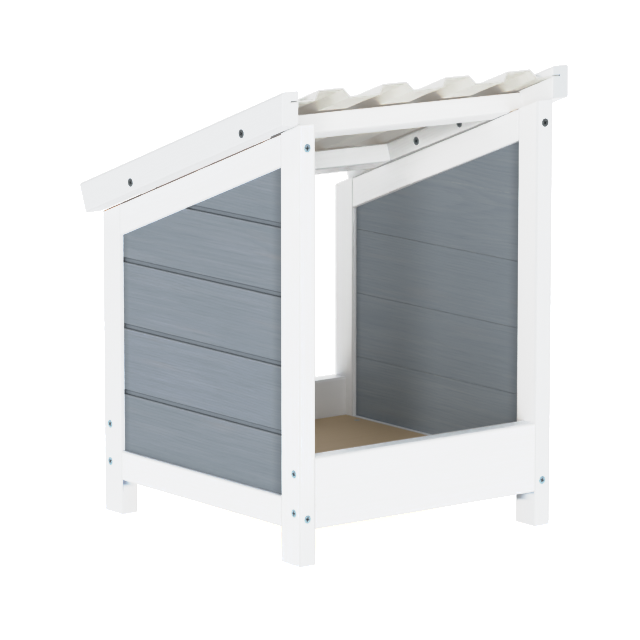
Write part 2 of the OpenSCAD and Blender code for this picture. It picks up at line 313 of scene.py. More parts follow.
def screw_places():
    """Every screw: node, length, shank, head, and the matrix of its head (local +Z out)."""
    out = []
    for sx in (1, -1):
        low, high = FOOT + 13, H - 27
        for z in (low, high):
            out.append(("frame_screws", 60, 4.5, 9.8, P(sx * XM, 0, z), -EY, 0.0))
        out.append(("frame_screws", 60, 4.5, 9.8, P(sx * XM, D, low), EY, 0.0))
        d = (EY * CT - EZ * ST)
        out.append(("frame_screws", 60, 4.5, 9.8, P(sx * XM, D, H - D * TN - 14 / CT) - d * 1.9 * MM, d, 1.9))
        for u in (TT / 2, D - TT / 2):
            for z in (FOOT + 19.5, FOOT + 65.5):
                out.append(("board_screws", 60, 4.5, 9.8, P(sx * XO, u, z), EX * sx, 0.0))
        for s in (79.5, 314.5):
            out.append(("barge_screws", 60, 4.5, 9.8, R(sx * (GX + TT), s, 12.5), EX * sx, 0.0))
        for s in (152.5, 240.5):
            out.append(("roof_batten_screws", 40, 4.5, 9.8, R(sx * (GX - TT), s, TT / 2), -EX * sx, 0.0))
        for s in (112, 279):
            out.append(("roof_fixing_screws", 45, 4.5, 9.8, R(sx * XM, s, TT), EP, 0.0))
        for u in (90, D / 2, D - 90):
            out.append(("floor_batten_screws", 40, 4.5, 9.8, P(sx * (XI - TT), u, RAIL - FLOOR_T - TT / 2), -EX * sx, 0.0))
        for u in (60, D - 60):
            out.append(("floor_screws", 30, 4.0, 8.0, P(sx * (XI - TT / 2), u, RAIL), EZ, 0.0))
    return out


SCREWS = screw_places()


def drill(ob, bm=None):
    """Cuts every screw hole that reaches into ob, and any other cutter already in bm."""
    bm = bm or bmesh.new()
    co = np.array([v.co for v in ob.data.vertices])
    lo, hi = co.min(0) - 0.0002, co.max(0) + 0.0002
    found = len(bm.verts)
    for node, length, d, hd, pos, out, sink in SCREWS:
        tip = pos - out * length * MM
        a, b = np.minimum(pos, tip), np.maximum(pos, tip)
        # the shank's own box, fattened by its head
        if all(b[k] + (0.0045 if abs(out[k]) < 0.5 else -0.0004) > lo[k] and a[k] - (0.0045 if abs(out[k]) < 0.5 else -0.0004) < hi[k] for k in range(3)):
            countersink(bm, facing(pos, out), length, d, hd, sink)
            found += 1
    if found:
        cut(ob, bm)
    else:
        bm.free()


def panel_top(u, m=0.0):
    return H - u * TN - (TW - GROOVE + m) / CT


def groove_cutter(bm, sx):
    """The groove that the wall boards stand in, all round a side frame."""
    u0, u1 = TW - GROOVE - 0.3, D - TW + GROOVE + 0.3
    pts = [(u0, PANEL_Z), (u1, PANEL_Z), (u1, panel_top(u1)), (u0, panel_top(u0))]
    x0 = sx * (BX0 - 0.2)
    prism(bm, [P(x0, u, z) for u, z in pts], EX * sx * (BOARD_T + 0.4) * MM)


# ------------------------------------------------------------------ node tools
class Tree:
    def __init__(self, name):
        self.mat = bpy.data.materials.new(name)
        self.mat.use_nodes = True
        self.t = self.mat.node_tree
        self.t.nodes.clear()
        self.out = self.t.nodes.new("ShaderNodeOutputMaterial")

    def set(self, sock, v):
        if isinstance(v, bpy.types.NodeSocket):
            self.t.links.new(v, sock)
        elif v is not None:
            if hasattr(sock.default_value, "__len__") and not hasattr(v, "__len__"):
                v = (v,) * len(sock.default_value)
            if hasattr(sock.default_value, "__len__") and len(sock.default_value) == 4 and len(v) == 3:
                v = (*v, 1.0)
            sock.default_value = v

    def node(self, kind, props=None, **ins):
        n = self.t.nodes.new("ShaderNode" + kind)
        for k, v in (props or {}).items():
            setattr(n, k, v)
        for k, v in ins.items():
            key = int(k[1:]) if k[0] == "i" and k[1:].isdigit() else k.replace("_", " ")
            self.set(n.inputs[key], v)
        return n

    def attr(self, name, vector=True):
        n = self.node("Attribute", {"attribute_name": name, "attribute_type": "GEOMETRY"})
        return n.outputs["Vector"] if vector else n.outputs["Fac"]

    def math(self, op, a, b=None, c=None, clamp=False):
        n = self.t.nodes.new("ShaderNodeMath")
        n.operation = op
        n.use_clamp = clamp
        for i, v in enumerate((a, b, c)):
            if v is not None:
                self.set(n.inputs[i], v)
        return n.outputs[0]

    def vec(self, op, a, b=None, scale=None):
        n = self.t.nodes.new("ShaderNodeVectorMath")
        n.operation = op
        self.set(n.inputs[0], a)
        if b is not None:
            self.set(n.inputs[1], b)
        if scale is not None:
            self.set(n.inputs["Scale"], scale)
        return n.outputs["Value"] if op in ("LENGTH", "DOT_PRODUCT", "DISTANCE") else n.outputs[0]

    def xyz(self, v):
        n = self.node("SeparateXYZ", i0=v)
        return n.outputs[0], n.outputs[1], n.outputs[2]

    def com(self, x, y, z):
        n = self.t.nodes.new("ShaderNodeCombineXYZ")
        for i, v in enumerate((x, y, z)):
            self.set(n.inputs[i], v)
        return n.outputs[0]

    def noise(self, v, scale=1.0, detail=2.0, rough=0.5, dist=0.0, color=False):
        n = self.t.nodes.new("ShaderNodeTexNoise")
        self.set(n.inputs["Vector"], v)
        self.set(n.inputs["Scale"], scale)
        self.set(n.inputs["Detail"], detail)
        self.set(n.inputs["Roughness"], rough)
        self.set(n.inputs["Distortion"], dist)
        return n.outputs["Color"] if color else n.outputs[0]

    def range(self, v, a, b, c=0.0, d=1.0, smooth=True):
        n = self.t.nodes.new("ShaderNodeMapRange")
        n.interpolation_type = "SMOOTHSTEP" if smooth else "LINEAR"
        for i, x in enumerate((v, a, b, c, d)):
            self.set(n.inputs[i], x)
        return n.outputs[0]

    def mix(self, f, a, b, mode="MIX"):
        n = self.t.nodes.new("ShaderNodeMix")
        n.data_type = "RGBA"
        n.blend_type = mode
        n.clamp_factor = True
        self.set(n.inputs[0], f)
        self.set(n.inputs[6], a)
        self.set(n.inputs[7], b)
        return n.outputs[2]

    def bump(self, h, strength, distance, normal=None):
        n = self.t.nodes.new("ShaderNodeBump")
        self.set(n.inputs["Height"], h)
        self.set(n.inputs["Strength"], strength)
        self.set(n.inputs["Distance"], distance)
        if normal is not None:
            self.set(n.inputs["Normal"], normal)
        return n.outputs[0]

    def principled(self, **ins):
        n = self.t.nodes.new("ShaderNodeBsdfPrincipled")
        for k, v in ins.items():
            self.set(n.inputs[k.replace("_", " ")], v)
        self.t.links.new(n.outputs[0], self.out.inputs[0])
        return n


def wood_fields(t):
    """The solid grain of a plain-sawn softwood plank: rings about a wandering pith, fibres, knots, and the distance to the piece's edges."""
    g = t.attr("grain")
    loc = t.attr("loc")
    dim = t.attr("dim")
    x, y, z = t.xyz(g)
    # slow wander of the pith along the plank, and a little waviness
    wob = t.noise(t.com(t.math("MULTIPLY", x, 2.3), t.math("MULTIPLY", y, 4.0), t.math("MULTIPLY", z, 4.0)), 1.0, 2.0, 0.45, color=True)
    wx, wy, wz = t.xyz(t.vec("SUBTRACT", wob, (0.5, 0.5, 0.5)))
    yy = t.math("ADD", y, t.math("MULTIPLY", wy, 0.034))
    zz = t.math("ADD", z, t.math("MULTIPLY", wz, 0.034))
    # knots push the rings aside and leave a dark eye
    kcell = t.t.nodes.new("ShaderNodeTexVoronoi")
    kcell.feature = "F1"
    kcell.distance = "EUCLIDEAN"
    t.set(kcell.inputs["Vector"], t.com(t.math("MULTIPLY", x, 3.1), t.math("MULTIPLY", y, 7.0), t.math("MULTIPLY", z, 7.0)))
    t.set(kcell.inputs["Scale"], 1.0)
    kd = kcell.outputs["Distance"]
    pick = t.xyz(kcell.outputs["Color"])[0]
    rare = t.math("GREATER_THAN", pick, 0.72)
    knot = t.math("MULTIPLY", t.range(kd, 0.05, 0.028, 0.0, 1.0), rare)
    halo = t.math("MULTIPLY", t.range(kd, 0.26, 0.03, 0.0, 1.0), rare)
    r = t.math("SQRT", t.math("ADD", t.math("POWER", yy, 2.0), t.math("POWER", zz, 2.0)))
    r = t.math("ADD", r, t.math("MULTIPLY", halo, 0.006))
    fine = t.noise(t.com(t.math("MULTIPLY", x, 9.0), t.math("MULTIPLY", y, 60.0), t.math("MULTIPLY", z, 60.0)), 1.0, 2.0, 0.5)
    r = t.math("ADD", r, t.math("MULTIPLY", t.math("SUBTRACT", fine, 0.5), 0.0011))
    saw = t.math("FRACT", t.math("MULTIPLY", r, 285.0))
    ring = t.math("MULTIPLY", t.range(saw, 0.0, 0.78), t.range(saw, 1.0, 0.86))     # slow rise, quick fall
    fibre = t.noise(t.com(t.math("MULTIPLY", x, 16.0), t.math("MULTIPLY", y, 620.0), t.math("MULTIPLY", z, 620.0)), 1.0, 3.0, 0.6)
    streak = t.noise(t.com(t.math("MULTIPLY", x, 5.5), t.math("MULTIPLY", y, 170.0), t.math("MULTIPLY", z, 170.0)), 1.0, 2.0, 0.5)
    blotch = t.noise(t.com(t.math("MULTIPLY", x, 7.0), t.math("MULTIPLY", y, 22.0), t.math("MULTIPLY", z, 22.0)), 1.0, 3.0, 0.5)
    # second smallest distance to the piece's faces: near 0 along its edges
    l, w, h = t.xyz(loc)
    dl, dw, dh = t.xyz(dim)
    a = t.math("ABSOLUTE", t.math("MINIMUM", l, t.math("SUBTRACT", dl, l)))
    b = t.math("ABSOLUTE", t.math("MINIMUM", w, t.math("SUBTRACT", dw, w)))
    c = t.math("ABSOLUTE", t.math("MINIMUM", h, t.math("SUBTRACT", dh, h)))
    lowest = t.math("MINIMUM", a, t.math("MINIMUM", b, c))
    highest = t.math("MAXIMUM", a, t.math("MAXIMUM", b, c))
    edge = t.math("SUBTRACT", t.math("SUBTRACT", t.math("ADD", a, t.math("ADD", b, c)), lowest), highest)
    return dict(long=t.math("MAXIMUM", b, c), g=g, x=x, y=y, z=z, ring=ring, fibre=fibre, streak=streak, blotch=blotch, knot=knot, halo=halo, edge=edge, ends=a, tone=t.attr("tone", False))


def mat_white():
    t = Tree("white_paint_on_timber")
    f = wood_fields(t)
    edge = t.range(f["edge"], 0.0016, 0.0003)
    wear_noise = t.noise(f["g"], 95.0, 4.0, 0.62)
    wear = t.math("MULTIPLY", edge, t.range(wear_noise, 0.52, 0.70))
    col = t.mix(t.math("MULTIPLY", f["ring"], 0.30), (0.900, 0.908, 0.918), (0.880, 0.887, 0.894))
    col = t.mix(t.math("MULTIPLY", t.range(f["streak"], 0.45, 0.75), 0.35), col, (0.868, 0.874, 0.880))
    col = t.mix(t.math("MULTIPLY", f["halo"], 0.22), col, (0.86, 0.835, 0.77))
    col = t.mix(t.math("MULTIPLY", f["knot"], 0.30), col, (0.72, 0.66, 0.56))
    col = t.mix(t.math("MULTIPLY", t.range(f["blotch"], 0.35, 0.75), 0.25), col, (0.890, 0.896, 0.902))
    col = t.mix(t.math("MULTIPLY", wear, 0.35), col, (0.70, 0.64, 0.55))
    # tone below 0 is painted shade, greyer and a little bluer the lower it goes; 0 to 1 only varies the plain white
    shade_t = t.math("ADD", 0.985, t.math("MULTIPLY", t.math("MINIMUM", f["tone"], 1.0), 0.03))
    col = t.mix(1.0, col, t.com(shade_t, t.math("POWER", shade_t, 0.9), t.math("POWER", shade_t, 0.8)), "MULTIPLY")
    # painted shade along the rounded arrises, holding down their highlight
    arris_painted_shade = t.range(f["long"], 0.0024, 0.0006, 1.0, 0.79)
    col = t.mix(1.0, col, t.com(arris_painted_shade, arris_painted_shade, arris_painted_shade), "MULTIPLY")
    col = t.mix(t.range(f["tone"], 1.6, 3.6), col, (0.58, 0.36, 0.17))
    # tone 7 and above is a dark brown painted as the shade in crevices
    col = t.mix(t.range(f["tone"], 4.4, 6.0), col, (0.17, 0.095, 0.055))
    height = t.math("ADD", t.math("MULTIPLY", f["ring"], 0.55), t.math("MULTIPLY", f["fibre"], 0.45))
    height = t.math("ADD", height, t.math("MULTIPLY", f["knot"], 0.5))
    brush = t.noise(t.com(t.math("MULTIPLY", f["x"], 14.0), t.math("MULTIPLY", f["y"], 1100.0), t.math("MULTIPLY", f["z"], 1100.0)), 1.0, 2.0, 0.5)
    nrm = t.bump(height, 0.32, 0.00022)
    nrm = t.bump(brush, 0.18, 0.00008, nrm)
    rough = t.math("ADD", 0.36, t.math("MULTIPLY", f["blotch"], 0.16))
    rough = t.math("ADD", rough, t.math("MULTIPLY", f["ring"], 0.05))
    t.principled(Base_Color=col, Roughness=rough, Normal=nrm, IOR=1.47, Specular_IOR_Level=0.42)
    return t.mat


def mat_stain():
    t = Tree("grey_blue_stain_on_boards")
    f = wood_fields(t)
    base = (0.262, 0.305, 0.345)
    fade = t.range(t.noise(t.com(t.math("MULTIPLY", f["x"], 4.0), t.math("MULTIPLY", f["y"], 18.0), t.math("MULTIPLY", f["z"], 18.0)), 1.0, 2.0, 0.5), 0.36, 0.66, 0.25, 1.0)
    col = t.mix(t.math("MULTIPLY", t.math("MULTIPLY", f["ring"], fade), 0.42), base, (0.318, 0.355, 0.388))
    thin = t.range(f["streak"], 0.50, 0.74)
    col = t.mix(t.math("MULTIPLY", thin, 0.22), col, (0.372, 0.395, 0.410))
    deep = t.range(f["streak"], 0.46, 0.25)
    col = t.mix(t.math("MULTIPLY", deep, 0.24), col, (0.205, 0.245, 0.285))
    col = t.mix(t.math("MULTIPLY", t.range(f["fibre"], 0.52, 0.78), 0.42), col, (0.365, 0.395, 0.422))
    col = t.mix(t.math("MULTIPLY", t.range(f["fibre"], 0.46, 0.26), 0.48), col, (0.190, 0.227, 0.265))
    dash = t.noise(t.com(t.math("MULTIPLY", f["x"], 70.0), t.math("MULTIPLY", f["y"], 1300.0), t.math("MULTIPLY", f["z"], 1300.0)), 1.0, 2.0, 0.6)
    col = t.mix(t.math("MULTIPLY", t.range(dash, 0.58, 0.78), 0.35), col, (0.175, 0.210, 0.248))
    # where the wood shows through it turns slightly warm
    warm = t.range(t.noise(t.com(t.math("MULTIPLY", f["x"], 5.0), t.math("MULTIPLY", f["y"], 70.0), t.math("MULTIPLY", f["z"], 70.0)), 1.0, 2.0, 0.5), 0.60, 0.80)
    col = t.mix(t.math("MULTIPLY", warm, 0.30), col, (0.385, 0.372, 0.372))
    col = t.mix(t.math("MULTIPLY", t.range(f["blotch"], 0.30, 0.72), 0.22), col, (0.235, 0.278, 0.318))
    col = t.mix(t.math("MULTIPLY", f["halo"], 0.30), col, (0.225, 0.250, 0.275))
    col = t.mix(t.math("MULTIPLY", f["knot"], 0.75), col, (0.135, 0.135, 0.140))
    worn = t.math("MULTIPLY", t.range(f["edge"], 0.0012, 0.0002), t.range(t.noise(f["g"], 80.0, 4.0, 0.6), 0.40, 0.70))
    col = t.mix(t.math("MULTIPLY", worn, 0.45), col, (0.40, 0.42, 0.43))
    shade_t = t.math("ADD", 0.915, t.math("MULTIPLY", f["tone"], 0.07))
    # the inner faces are painted 3 % lighter, as painted light inside the box
    along, up, thick = t.xyz(t.attr("loc"))
    shade_t = t.math("MULTIPLY", shade_t, t.range(thick, 0.0004, 0.003, 1.03, 1.0))
    # painted shade beside the posts, in the set-back lips and, darkest, in their inner corner; a painted highlight on
    # the arris below
    length = t.xyz(t.attr("dim"))[0]
    shade_t = t.math("MULTIPLY", shade_t, t.range(along, 0.013, 0.034, 0.74, 1.0))
    shade_t = t.math("MULTIPLY", shade_t, t.range(t.math("SUBTRACT", length, along), 0.008, 0.020, 0.84, 1.0))
    turn = t.math("FRACT", t.math("DIVIDE", t.math("ADD", up, (LIP + BOARD_H) * MM), BOARD_H * MM))
    rise = t.math("MULTIPLY", turn, BOARD_H)
    lip_shade = t.math("MULTIPLY", t.math("LESS_THAN", thick, 0.0108), t.math("GREATER_THAN", thick, 0.0080))
    lip_shade = t.math("MULTIPLY", lip_shade, t.math("LESS_THAN", rise, LIP + 0.15))
    col = t.mix(t.math("MULTIPLY", lip_shade, 0.26), col, (0.165, 0.195, 0.225))
    col = t.mix(t.math("MULTIPLY", lip_shade, t.range(rise, LIP - 2.1, LIP - 1.0, 0.0, 0.66)), col, (0.055, 0.075, 0.100))
    # a painted highlight on the upper arris of the board below
    arris = t.math("MULTIPLY", t.range(rise, BOARD_H - GAP - 2.6, BOARD_H - GAP - 1.0), t.math("GREATER_THAN", thick, 0.0102))
    col = t.mix(t.math("MULTIPLY", arris, 0.42), col, (0.42, 0.45, 0.475))
    col = t.mix(1.0, col, t.com(shade_t, shade_t, shade_t), "MULTIPLY")
    height = t.math("ADD", t.math("MULTIPLY", f["ring"], 0.5), t.math("MULTIPLY", f["fibre"], 0.5))
    nrm = t.bump(height, 0.5, 0.0003)
    rough = t.math("ADD", 0.50, t.math("MULTIPLY", f["fibre"], 0.22))
    t.principled(Base_Color=col, Roughness=rough, Normal=nrm, IOR=1.45, Specular_IOR_Level=0.30)
    return t.mat


def mat_raw(name, light, dark, ring_dark, ply=False):
    t = Tree(name)
    f = wood_fields(t)
    col = t.mix(t.math("MULTIPLY", f["ring"], 0.75), light, ring_dark)
    col = t.mix(t.math("MULTIPLY", t.range(f["streak"], 0.45, 0.75), 0.4), col, dark)
    col = t.mix(t.math("MULTIPLY", t.range(f["fibre"], 0.5, 0.8), 0.35), col, ring_dark)
    col = t.mix(t.math("MULTIPLY", f["halo"], 0.35), col, dark)
    col = t.mix(t.math("MULTIPLY", f["knot"], 0.85), col, (0.16, 0.075, 0.035))
    if ply:
        # five veneers show on the sawn edges
        _, _, h = t.xyz(t.attr("loc"))
        layer = t.math("FRACT", t.math("MULTIPLY", h, 1000.0 / 4.8))
        geo = t.t.nodes.new("ShaderNodeNewGeometry")
        flat = t.math("ABSOLUTE", t.xyz(geo.outputs["True Normal"])[2])
        side = t.range(flat, 0.75, 0.35)
        band = t.math("GREATER_THAN", layer, 0.5)
        col = t.mix(t.math("MULTIPLY", side, t.math("MULTIPLY", band, 0.65)), col, (0.30, 0.185, 0.10))
    height = t.math("ADD", t.math("MULTIPLY", f["ring"], 0.4), t.math("MULTIPLY", f["fibre"], 0.6))
    nrm = t.bump(height, 0.5, 0.0003)
    rough = t.math("ADD", 0.58, t.math("MULTIPLY", f["fibre"], 0.2))
    t.principled(Base_Color=col, Roughness=rough, Normal=nrm, IOR=1.45, Specular_IOR_Level=0.3)
    return t.mat


SHEET_UNDERSIDE_SHADE, SHEET_GLOW, SHEET_THROUGH = (0.70, 0.706, 0.70), (0.95, 0.935, 0.90), 0.52


def mat_sheet():
    t = Tree("off_white_ribbed_plastic")
    g = t.attr("grain")
    x, y, z = t.xyz(g)
    along = t.xyz(t.attr("loc"))[0]
    draw = t.noise(t.com(t.math("MULTIPLY", x, 2.0), t.math("MULTIPLY", y, 240.0), t.math("MULTIPLY", z, 240.0)), 1.0, 3.0, 0.55)
    cloud = t.noise(g, 14.0, 3.0, 0.5)
    dust = t.noise(g, 900.0, 2.0, 0.5)
    geo = t.t.nodes.new("ShaderNodeNewGeometry")
    outside = t.math("SUBTRACT", 1.0, geo.outputs["Backfacing"])
    upper = t.math("MULTIPLY", outside, t.range(t.xyz(geo.outputs["True Normal"])[2], 0.0, 0.2))
    # the underside is coloured darker than the top of the same plastic: painted shade
    under = t.mix(t.range(cloud, 0.35, 0.7), SHEET_UNDERSIDE_SHADE, tuple(0.97 * v for v in SHEET_UNDERSIDE_SHADE))
    over = t.mix(t.range(cloud, 0.35, 0.7), (0.86, 0.862, 0.855), (0.84, 0.84, 0.83))
    col = t.mix(upper, under, over)
    col = t.mix(t.math("MULTIPLY", t.range(draw, 0.5, 0.75), 0.20), col, (0.80, 0.80, 0.785))
    # the sawn front edge is painted darker, as painted shade
    sawn = t.range(along, 0.0006, 0.0002)
    col = t.mix(sawn, col, (0.60, 0.60, 0.585))
    nrm = t.bump(draw, 0.25, 0.00012)
    nrm = t.bump(dust, 0.08, 0.00004, nrm)
    rough = t.math("ADD", 0.40, t.math("MULTIPLY", cloud, 0.16))
    p = t.principled(Base_Color=col, Roughness=rough, Normal=nrm, IOR=1.5, Specular_IOR_Level=0.45)
    # daylight glows through the thin plastic
    tr = t.t.nodes.new("ShaderNodeBsdfTranslucent")
    t.set(tr.inputs["Color"], SHEET_GLOW)
    t.set(tr.inputs["Normal"], nrm)
    m = t.t.nodes.new("ShaderNodeMixShader")
    through = t.math("MULTIPLY", t.math("SUBTRACT", SHEET_THROUGH, t.math("MULTIPLY", upper, SHEET_THROUGH - 0.15)), t.math("SUBTRACT", 1.0, sawn))
    t.set(m.inputs[0], through)
    t.t.links.new(p.outputs[0], m.inputs[1])
    t.t.links.new(tr.outputs[0], m.inputs[2])
    t.t.links.new(m.outputs[0], t.out.inputs[0])
    return t.mat


def mat_zinc():
    t = Tree("zinc_plated_screws")
    g = t.attr("grain")
    loc = t.attr("loc")
    _, _, depth = t.xyz(loc)
    tone = t.attr("tone", False)
    spangle = t.noise(g, 1400.0, 3.0, 0.6)
    turned = t.noise(g, 5200.0, 1.0, 0.5)
    lit = t.mix(t.range(spangle, 0.3, 0.7), (0.290, 0.385, 0.435), (0.50, 0.58, 0.62))
    dark = t.mix(t.range(spangle, 0.3, 0.7), (0.055, 0.068, 0.078), (0.24, 0.26, 0.26))
    # tone turns a head towards near black: painted shade on heads of the same zinc
    col = t.mix(tone, lit, dark)
    # painted shade, with some dirt, in the cross recess, darker with depth
    recess_dirt_and_shade = t.range(depth, -0.00035, -0.0011)
    col = t.mix(t.math("MULTIPLY", recess_dirt_and_shade, 0.82), col, (0.03, 0.045, 0.055))
    rough = t.math("ADD", 0.24, t.math("MULTIPLY", spangle, 0.22))
    nrm = t.bump(turned, 0.12, 0.00003)
    t.principled(Base_Color=col, Metallic=0.92, Roughness=rough, Normal=nrm)
    return t.mat


MAT = {
    "white_timber": mat_white(),
    "stained_boards": mat_stain(),
    "raw_timber": mat_raw("planed_raw_batten", (0.68, 0.50, 0.31), (0.56, 0.38, 0.21), (0.50, 0.31, 0.155)),
    "floor_panel": mat_raw("sanded_plywood_floor", (0.66, 0.50, 0.32), (0.58, 0.42, 0.25), (0.56, 0.39, 0.22), ply=True),
    "roof_sheet": mat_sheet(),
    "screws": mat_zinc(),
}


def done(ob, node, slot, o, e1, e2, e3, dims, body="box", tone=None, deg=33):
    """Finishes a replacement piece: shading, material coordinates, material, body and the node it stands for."""
    tidy(ob)
    shade(ob, deg)
    off = (rnd.uniform(0, 40), rnd.choice((-1, 1)) * rnd.uniform(0.012, 0.075), rnd.uniform(-0.045, 0.045))
    attributes(ob, o, e1, e2, e3, dims, off, rnd.random() if tone is None else tone)
    ob.data.materials.clear()
    ob.data.materials.append(MAT[slot])
    if "frame" in ob:
        del ob["frame"]
    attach(ob, body)
    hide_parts(node)
    return ob


def timber(node, o, e1, e2, e3, w, h, length, slot="white_timber", cutter=None, tone=None, shade_strip=None, **kw):
    ob = bar("v_" + node, o, e1, e2, e3, w, h, length, **kw)
    drill(ob, cutter)
    if shade_strip:
        # a strip laid in the crevice between a side frame and its barge board, behind the rear roof rail, to block the
        # light and darken the crevice: it stands in for the shade there
        bm = bmesh.new()
        bm.from_mesh(ob.data)
        fresh = bmesh.new()
        box_in(fresh, *shade_strip)
        bmesh.ops.recalc_face_normals(fresh, faces=fresh.faces)
        me = bpy.data.meshes.new("shade_strip")
        fresh.to_mesh(me)
        fresh.free()
        bm.from_mesh(me)
        bpy.data.meshes.remove(me)
        bm.to_mesh(ob.data)
        bm.free()
    return done(ob, node, slot, o, e1, e2, e3, (length * MM, w * MM, h * MM), tone=tone)


# How each white piece is coloured: 0 to 1 is the plain white, varying at random; lower values are painted shade,
# given piece by piece and face by face, greyer and a little bluer the lower they go; the sawn ends go darker, partly as
# end grain and partly as painted shade;
# 4 is bare wood, as on the faces that the roof sheet covers, and 7 is a dark brown painted as the shade in a crevice.
def coat_and_shade(plain, end=None, front=None, bare_top=None, crevice_shade_top=None, end_grain_and_shade=-12.5):
    def tone(loc):
        v = np.full(len(loc), plain, float)
        # a darker front face is painted shade
        if front is not None:
            v[loc[:, 2] < 2.6] = front
        if bare_top is not None:
            v[loc[:, 2] > bare_top - 0.15] = 4.0
        # painted shade darkening towards the top, and a dark brown line of painted shade in the crevice at the very top
        if crevice_shade_top is not None:
            v = v - 1.6 * np.clip(1 - (crevice_shade_top - loc[:, 2]) / 22.0, 0, 1)
            v[loc[:, 2] > crevice_shade_top - 1.05] = 7.0
        # the end faces go darker, partly as end grain and partly as painted shade
        if end is not None:
            v[end(loc)] = end_grain_and_shade
        return v
    return tone


def shaded_foot(base, face, taper):
    """The tone of a post, with painted shade on the face that looks in under the box: greyer below the box, and a
    darker painted shadow just under it.
    """
    def tone(loc):
        v = base(loc)
        inward = loc[:, face] < 0.35
        v[inward & (loc[:, 0] < FOOT + 4)] = -10.5 if face == 1 else -9.0
        v[inward & (loc[:, 0] < FOOT + 4) & (loc[:, 0] > FOOT - 2 - 14 * loc[:, taper] / TW)] = -24.0
        return v
    return tone


def left_front_shade(loc):
    # painted shade on the outer face towards the head, under the barge board, and on the front face towards the foot
    v = np.full(len(loc), -1.2)
    under = np.clip(1 - (H - loc[:, 2] * TN - loc[:, 0]) / 60.0, 0, 1)
    v = np.where(loc[:, 1] > TT - 0.35, v - 3.2 * under, v)
    low = np.clip(1 - loc[:, 0] / 110.0, 0, 1)
    return np.where(loc[:, 2] < 1.5, v - 3.4 * low, v)


def left_rear_shade(loc):
    # a dark brown band painted as the shade along the outer edge of the head, behind the barge board; the rest of the
    # post carries a little painted shade
    up = loc[:, 0] + (loc[:, 2] + D - TW) * TN
    return np.where((up > H - 0.6) & (up < H - 0.17) & (loc[:, 1] > TT - 0.5), 11.0, -4.2)


# ------------------------------------------------------------------ side frames
for side, sx in (("left", -1), ("right", 1)):
    # each piece starts at its inner, front, lower corner; e1 points outwards
    out = EX * sx
    top_plane = (P(0, 0, H), EP)
    bm = bmesh.new()
    groove_cutter(bm, sx)
    # the front posts carry painted shade: the right one on its front face, the left one under the barge board and
    # towards the foot, both under the box
    timber(side + "_front_post", P(sx * XI, 0, 0), out, EY, EZ, TT, TW, H, cutter=bm, plane_b=top_plane, ca=0.8, wob=0.10, step=6.0,
           tone=shaded_foot(left_front_shade if sx < 0 else coat_and_shade(0.3, front=-5.0), 1, 2))
    bm = bmesh.new()
    groove_cutter(bm, sx)
    # the rear posts carry painted shade under the box, the left one also all over and in the crevice behind its barge
    # board
    timber(side + "_rear_post", P(sx * XI, D - TW, 0), out, EY, EZ, TT, TW, H - D * TN, cutter=bm, plane_b=top_plane, ca=0.8, wob=0.10, step=6.0, near=2.2,
           tone=shaded_foot(left_rear_shade if sx < 0 else coat_and_shade(1.0), 2, 1),
           shade_strip=(R(sx * (XO - 9), (D - TW) / CT + 0.5, -0.6), out, EP, ES, 4.0, 2.0, TW / CT - 4.0))
    bm = bmesh.new()
    groove_cutter(bm, sx)
    # the left top rail is painted darker as shade, darkening towards its top into a dark brown line of painted shade
    # under the barge board
    timber(side + "_top_rail", R(sx * XI, 0, -TW), out, EP, ES, TT, TW, D / CT, cutter=bm,
           plane_a=(P(0, TW, 0), EY), plane_b=(P(0, D - TW, 0), EY), wob=0.10, tone=coat_and_shade(-3.0, crevice_shade_top=TW) if sx < 0 else coat_and_shade(0.7, bare_top=TW + 0.1),
           shade_strip=(R(sx * (XO - 9), 336.0, -0.6), out, EP, ES, 4.0, 2.0, (D - TW) / CT - 336.0))
    bm = bmesh.new()
    groove_cutter(bm, sx)
    # the bottom rails carry a little painted shade
    timber(side + "_bottom_rail", P(sx * XI, TW, FOOT), out, EZ, EY, TT, TW, D - 2 * TW, cutter=bm, wob=0.10, tone=coat_and_shade(-1.6))

# front and rear boards, floor and its battens
# the front board carries a little painted shade
timber("front_board", P(-XI, 0, FOOT), EY, EZ, EX, TT, SILL, 2 * XI, r=3.0, wob=0.08, tone=coat_and_shade(-1.8))
timber("rear_board", P(-XI, D - TT, FOOT), EY, EZ, EX, TT, SILL, 2 * XI, r=3.0, wob=0.08)
timber("floor_panel", P(-XI + 0.8, TT + 1, RAIL - FLOOR_T), EY, EZ, EX, D - 2 * TT - 2, FLOOR_T, 2 * XI - 1.6,
       slot="floor_panel", r=0.6, ca=0.4, cb=0.4)
for side, sx in (("left", -1), ("right", 1)):
    timber(side + "_floor_batten", P(sx * (XI - TT), TT + 2, RAIL - FLOOR_T - TT), EX * sx, EZ, EY, TT, TT, D - 2 * TT - 4,
           slot="raw_timber", r=1.5)


# ------------------------------------------------------------------ wall boards
TONG_T, TONG_H, TONG_X = 4.0, 5.5, 5.0


